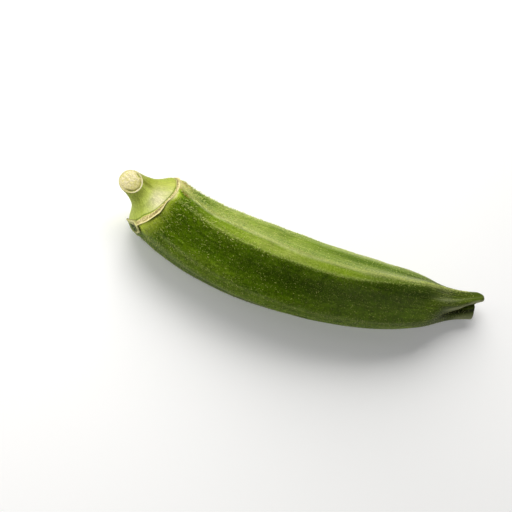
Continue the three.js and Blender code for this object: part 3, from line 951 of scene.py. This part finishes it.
def buildTongue(name, steps=90, sides=20, halfThickness=0.2, skirt=0.5):
    # A leaf-shaped section carried along a cubic through the route's points. Its foot reaches down to the
    # skin, and it narrows toward both ends by a root of a sine
    q = tongueShape[name]
    knots = np.array(q["route"], float)
    t = np.linspace(0, 1, steps)
    legs = np.hypot(np.diff(knots[:, 0]), mmPerDegree * np.diff(knots[:, 1]))
    at = np.concatenate([[0], np.cumsum(legs)]) / legs.sum()
    s, angle, height = (knotCurve(np.stack([at, knots[:, k]], axis=1), t) for k in range(3))
    height = height + fineSkin["pocketDepth"] * spotAt(s, angle, "pocket")
    centre = skinPoint(s, angle, height=height)
    out = skinPoint(s, angle, height=height + 1) - centre
    forward = unit(np.gradient(centre, axis=0))
    across = unit(np.cross(forward, out))
    outward = np.cross(across, forward)
    turn = np.linspace(0, 2 * np.pi, sides, endpoint=False)
    taper = np.sqrt(np.clip(np.sin(np.pi * (0.03 + 0.94 * t)), 0, 1))[:, None]
    foot = np.where(np.sin(turn) < 0, 1 + skirt / halfThickness * np.sin(turn) ** 2, 1)
    sideways = q["halfWidth"] * taper * np.cos(turn)
    upward = halfThickness * taper * np.sin(turn) * foot
    ring = centre[:, None] + across[:, None] * sideways[..., None] + outward[:, None] * upward[..., None]
    points = np.vstack([ring.reshape(-1, 3), ring[0].mean(0)[None], ring[-1].mean(0)[None]])
    strip = [np.repeat(t * 6, sides), np.tile(np.cos(turn), steps), np.zeros(steps * sides)]
    lip = np.append(np.tile(between(np.sin(turn), -0.2, 0.3), steps), [1, 1])
    # painted shade on the tongue's underside
    under = np.append(np.tile(0.5 * between(-np.sin(turn), 0.4, 0.9), steps), [0, 0])
    green = np.full(len(points), q["green"])
    return newPiece(name, onSurface(points), tubeFaces(steps, sides), scarBand.data.materials[0],
                    strip=np.vstack([np.stack(strip, axis=-1), [[0, 0, 0], [6, 0, 0]]]),
                    lip=lip, under=under, green=green)


for tongueName in tongueShape:
    buildTongue(tongueName)

# The cut face: a rim of skin, a narrow broken gap, and a pith of small cells that bulges a little.
# Spots round it are strength, angle and spread, and the gap's wander is reach, turns and phase
cutShape = {
    "rows": 46,
    "columns": 150,
    "rimWidth": 0.42,
    "gapWidth": 0.16,
    "gapWander": [(0.07, 3, 40), (0.05, 7, 100), (0.04, 12, 10)],
    "gapDepth": 0.3,
    "gapSpots": [(1.3, 42, 14), (0.6, -5, 34), (1.1, -96, 18), (0.45, -60, 20)],
    "gapWidest": (44, 12),
    "wornSpots": [(0.95, -80, 48), (0.7, -12, 38)],
    "rimSpot": (-35, 75),
    "pithBulge": 0.36,
    "pithShrink": 1.3,
    "lumps": 12,
    "lumpHeight": 0.0075,
    "proud": 0.06,
    "overSkin": 0.02,
    "overhang": 1.004,
    "edgeTuck": 0.15,
    "backDepth": 0.3,
}
cutLook = {
    "cellWall": srgb(164, 152, 92),
    "cell": srgb(236, 226, 184),
    "cloud": srgb(204, 196, 112),
    "worn": srgb(176, 170, 66),
    "rim": srgb(216, 208, 168),
    "gap": srgb(92, 80, 30),
}


def cutMaterial():
    look = cutLook
    material, tree, shader = newMaterial("cutPith", {"Roughness": 0.6, "Specular IOR Level": 0.3})
    disc = readAttribute(tree, "disc", "Vector")
    cells = addNode(tree, "TexVoronoi", {"Vector": disc, "Scale": 4.2}, feature="DISTANCE_TO_EDGE").outputs[0]
    cloud = noise(tree, disc, 1.2, 4)
    tear = noise(tree, disc, 1.6, 4, 0.7)
    color = mixed(tree, remap(tree, cells, 0.0, 0.12), look["cellWall"], look["cell"])
    color = mixed(tree, remap(tree, cloud, 0.45, 0.62, 0, 0.7), color, look["cloud"])
    for name in ("worn", "rim"):
        color = mixed(tree, readAttribute(tree, name), color, look[name])
    ragged = calc(tree, "MULTIPLY", readAttribute(tree, "gap"), remap(tree, tear, 0.4, 0.56))
    wire(tree, shader, mixed(tree, ragged, color, look["gap"]), cells)
    return material


def buildCut():
    # A disc over the stem's end: its height is a low dome with small waves for the pith, a groove for the gap
    # and a rounded rim
    q = cutShape
    rows, columns, rimWidth = q["rows"], q["columns"], q["rimWidth"]
    angle = np.arange(columns) * 360 / columns
    stem = np.array(-float(podLine["stemLength"]))
    centre = axisPoint(stem) + stemShift(stem)
    spoke = skinPoint(stem + 0 * angle, angle) - centre
    radius = np.linalg.norm(spoke, axis=1)
    share = np.linspace(1, 0, rows, endpoint=False)[:, None]
    fromRim = (1 - share) * radius
    wander = sum(reach * np.sin(np.radians(angle * turns + phase)) for reach, turns, phase in q["gapWander"])
    gapAt = rimWidth + q["gapWidth"] + wander
    gap = bell(fromRim, gapAt, q["gapWidth"])
    near = lambda at, spread: bell(wrap(angle - at), 0, spread)
    spots = lambda name: sum(strength * near(at, spread) for strength, at, spread in q[name])
    gapOpen = np.clip(spots("gapSpots"), 0, 1)
    wideGap = bell(fromRim, gapAt, 2 * q["gapWidth"]) * near(*q["gapWidest"])
    rimSide = np.clip(1.4 * near(*q["rimSpot"]) ** 2, 0.1, 1)
    worn = np.clip(spots("wornSpots") * share, 0, 0.45) + 0.2 * share ** 5
    rng = np.random.default_rng(5)
    draws = zip(*(rng.uniform(low, high, q["lumps"]) for low, high in ((4, 9), (0, 360), (0, 6))))
    lumps = sum(np.cos(3 * size * share * np.cos(np.radians(angle + at)) + turn) for size, at, turn in draws)
    rimRound = q["proud"] * np.sqrt(np.clip(1 - (2 * fromRim / rimWidth - 1) ** 2, 0, 1))
    pith = q["pithBulge"] * np.sqrt(np.clip(1 - q["pithShrink"] * share ** 2, 0, 1))
    height = rimRound + pith + q["lumpHeight"] * lumps * (fromRim > gapAt) - q["gapDepth"] * gap * gapOpen
    height = np.where(share == 1, -q["edgeTuck"], height + q["overSkin"])
    top = centre + spoke * (share * q["overhang"])[..., None] + cutNormal * height[..., None]
    back = centre - cutNormal * q["backDepth"]
    rings = np.vstack([(spoke + back)[None], top])
    points = np.vstack([rings.reshape(-1, 3), back[None], top[-1].mean(0)[None]])
    # marks lie on the disc's rings. The ring behind it, which comes first, and both end points have none
    marked = lambda mark: np.concatenate([np.zeros(columns), (mark + 0 * fromRim).ravel(), [0, 0]])
    across = share * radius * np.cos(np.radians(angle))
    along = share * radius * np.sin(np.radians(angle))
    rim = rimSide * ease(between(-fromRim, -rimWidth - 0.12, -rimWidth + 0.12))
    faces = [face[::-1] for face in tubeFaces(len(rings), columns)]
    return newPiece("cutFace", onSurface(points), faces, cutMaterial(), rim=marked(rim),
                    disc=np.stack([marked(across), marked(along), marked(0)], axis=-1),
                    gap=marked(np.maximum(0.85 * gap * gapOpen, wideGap)), worn=marked(np.clip(worn, 0, 1)))


buildCut()

# Hairs: short bent spikes with three sides. Lengths and radii at the root in millimetres
hairKinds = {
    "faceHairs": {"count": 2300, "length": (0.3, 0.72), "rootRadius": 0.072, "lean": (0.5, 1.1),
                  "shorten": 0.45, "seed": 31},
    "crestHairs": {"count": 120, "length": (0.45, 1.0), "rootRadius": 0.085, "lean": (0.5, 1.1),
                   "shorten": 0.9, "seed": 35, "tint": 0.35},
    "facetHairs": {"count": 420, "length": (0.5, 1.1), "rootRadius": 0.078, "lean": (0.3, 1.0),
                   "shorten": 0.55, "seed": 36, "tint": 0.6},
    "downHairs": {"count": 19000, "length": (0.16, 0.34), "rootRadius": 0.032, "lean": (0.2, 0.9),
                  "shorten": 0, "seed": 32},
    "ribHairs": {"count": 14000, "length": (0.25, 0.6), "rootRadius": 0.042, "lean": (0.3, 0.9),
                 "shorten": 0.3, "seed": 33},
    "collarHairs": {"count": 700, "length": (0.5, 1.0), "rootRadius": 0.055, "lean": (0.4, 1.0),
                    "shorten": 0, "seed": 34},
}
hairForm = {
    "sway": 0.6,
    "droop": 0.45,
    "shorterOver": (15, 50),
    "rings": [(0.0, 1.0), (0.5, 0.75)],
    "rootDepth": 0.05,
    "overSurface": 0.12,
    "beakClear": 2,
    "fullRadius": 11.3,
}
hairLook = {"green": srgb(160, 180, 66), "pale": srgb(226, 228, 136)}


def hairMaterial():
    material, tree, shader = newMaterial("paleHair", {"Roughness": 0.45, "Specular IOR Level": 0.4})
    wire(tree, shader, mixed(tree, readAttribute(tree, "tint"), hairLook["green"], hairLook["pale"]))
    return material


def buildHairs(name, s, angle, kind, material):
    # Each hair is an arc: it leaves the skin along its normal and bends over toward a lean direction with the
    # square of the way along it. Two rings of three points and a tip are carried along the arc
    q = hairForm
    rng = np.random.default_rng(kind["seed"])
    root = skinPoint(s, angle)
    alongStep = skinPoint(s + 0.2, angle) - root
    aroundStep = skinPoint(s, angle + 1) - root
    normal = unit(np.cross(alongStep, aroundStep))
    alongStep = unit(alongStep)
    aroundStep = np.cross(normal, alongStep)
    count = len(s)
    sway = rng.normal(0, q["sway"], count)[:, None]
    lean = alongStep * np.cos(sway) + aroundStep * np.sin(sway)
    length = rng.uniform(*kind["length"], count) * (1 - kind["shorten"] * between(s, *q["shorterOver"]))
    bend = rng.uniform(*kind["lean"], count)
    sideways = np.cross(normal, lean)
    start = rng.uniform(0, 2 * np.pi, count)[:, None]
    def onArc(t):
        rise = length * (t - q["droop"] * bend * t * t) - q["rootDepth"]
        reach = length * bend * (0.35 * t + 0.65 * t * t)
        return root + normal * rise[:, None] + lean * reach[:, None]
    corners = []
    for t, share in q["rings"]:
        for turn in (start, start + 2 * np.pi / 3, start + 4 * np.pi / 3):
            spread = lean * np.cos(turn) + sideways * np.sin(turn)
            corners.append(onArc(t) + spread * kind["rootRadius"] * share)
    corners.append(onArc(1.0))
    placed = place(np.stack(corners, axis=1))
    placed = placed[placed[:, :, 2].min(1) > q["overSurface"]]
    base = np.arange(len(placed))[:, None] * len(corners)
    faces = []
    for corner in [(0, 2, 1), (0, 1, 4, 3), (1, 2, 5, 4), (2, 0, 3, 5), (3, 4, 6), (4, 5, 6), (5, 3, 6)]:
        faces += (base + np.array(corner)).tolist()
    tint = np.repeat(rng.uniform(kind.get("tint", 0), 1, len(placed)), len(corners))
    return newPiece(name, placed.reshape(-1, 3), faces, material, tint=tint)


def onRibs(s, rng):
    # Angles by the ribs' edges: two in five behind the top rib, the rest on all five and most on the far one
    count = len(s)
    upper = rng.uniform(0, 1, count) < 0.4
    rib = np.where(upper, 0, rng.integers(0, 6, count) % 5)
    rib = np.where(~upper & (rng.uniform(0, 1, count) < 0.25), 4, rib)
    behind = topRibHalf(s) + 3 + rng.normal(0, 2.6, count)
    edge = rng.choice([-9, 9], count) * np.where(rib == 0, topRibHalf(s) / 10, 1)
    edge = edge + rng.normal(0, 1.6, count) * np.where(rib == 0, 1, 3)
    return np.array(ribAngles(s))[rib, np.arange(count)] + np.where(upper, behind, edge)


def scatterHairs():
    # Even over the length and round it, or as the kind asks, then thinned where the pod is thinner
    material = hairMaterial()
    last = podLine["bodyLength"] - hairForm["beakClear"]
    for name, kind in hairKinds.items():
        rng = np.random.default_rng(kind["seed"] + 100)
        count = kind["count"]
        s = rng.uniform(0.6, last, count)
        angle = rng.uniform(-180, 180, count)
        if name == "ribHairs":
            angle = onRibs(s, rng)
        if name == "crestHairs":
            s = rng.uniform(3, 36, count)
            angle = knotCurve(fineSkin["topRibLower"], s) + rng.normal(2, 4.5, count)
        if name == "facetHairs":
            s, angle = np.minimum(2 + rng.exponential(24, count), last), rng.uniform(14, 80, count)
        if name == "collarHairs":
            s = 0.5 + rng.exponential(3.5, count)
        keep = rng.uniform(0, 1, count) < baseRadius(s) / hairForm["fullRadius"]
        buildHairs(name, s[keep], angle[keep], kind, material)


scatterHairs()

# Camera, lights and floor. The camera looks down on the lying pod, and is rolled as the photograph is
cameraView = {
    "elevation": 56.3,
    "azimuth": -50.25,
    "roll": 60.61,
    "target": (-16.38, 0.42, 8),
    "distance": 500,
    "pixelsPerMm": 3.794,
    "imageSize": 512,
}


def placeCamera():
    v = cameraView
    e, a, roll = (math.radians(v[k]) for k in ("elevation", "azimuth", "roll"))
    back = Vector((math.sin(a) * math.cos(e), -math.cos(a) * math.cos(e), math.sin(e)))
    right = Vector((math.cos(a), math.sin(a), 0))
    up = back.cross(right)
    rolledRight = right * math.cos(roll) + up * math.sin(roll)
    rolledUp = back.cross(rolledRight)
    data = bpy.data.cameras.new("view")
    data.lens = v["pixelsPerMm"] * v["distance"] / v["imageSize"] * data.sensor_width
    camera = newObject("view", data)
    spot = (Vector(v["target"]) + back * v["distance"]) * mm
    camera.matrix_world = Matrix((rolledRight, rolledUp, back)).transposed().to_4x4()
    camera.matrix_world.translation = spot
    bpy.context.scene.camera = camera


lightDistance = 0.5  # metres, as are the lights' sizes
lightPlan = {
    "key": {"toward": (-0.38, 0.7, 0.6), "size": 0.5, "watts": 4.45, "color": (1.0, 0.99, 0.965)},
    "side": {"toward": (-0.9, 0.1, 0.45), "size": 0.25, "watts": 0.6, "color": (1.0, 0.99, 0.97)},
}
roomLight = {0: (1, 1, 1, 1), 1: 0.12}  # colour and strength


def placeLights():
    for name, q in lightPlan.items():
        data = bpy.data.lights.new(name, "AREA")
        data.size, data.energy, data.color = q["size"], q["watts"], q["color"]
        light = newObject(name, data)
        toward = Vector(q["toward"]).normalized()
        light.location = toward * lightDistance
        light.rotation_euler = toward.to_track_quat("Z", "Y").to_euler()
    world = bpy.data.worlds.new("softRoom")
    world.use_nodes = True
    for key, value in roomLight.items():
        world.node_tree.nodes["Background"].inputs[key].default_value = value
    bpy.context.scene.world = world


floorHalf = 1500  # millimetres
floorShader = {
    "Roughness": 0.9,
    "Base Color": (0.78, 0.78, 0.78, 1),
    "Emission Color": (1, 1, 1, 1),
    "Emission Strength": 0.22,
}


def layFloor():
    half = floorHalf * mm
    mesh = bpy.data.meshes.new("floor")
    corners = [(-half, -half, 0), (half, -half, 0), (half, half, 0), (-half, half, 0)]
    mesh.from_pydata(corners, [], [(0, 1, 2, 3)])
    mesh.materials.append(newMaterial("paleFloor", floorShader)[0])
    newObject("floor", mesh)


placeCamera()
placeLights()
layFloor()
bpy.context.scene.view_settings.view_transform = "Standard"
print("camera, lights and floor placed")
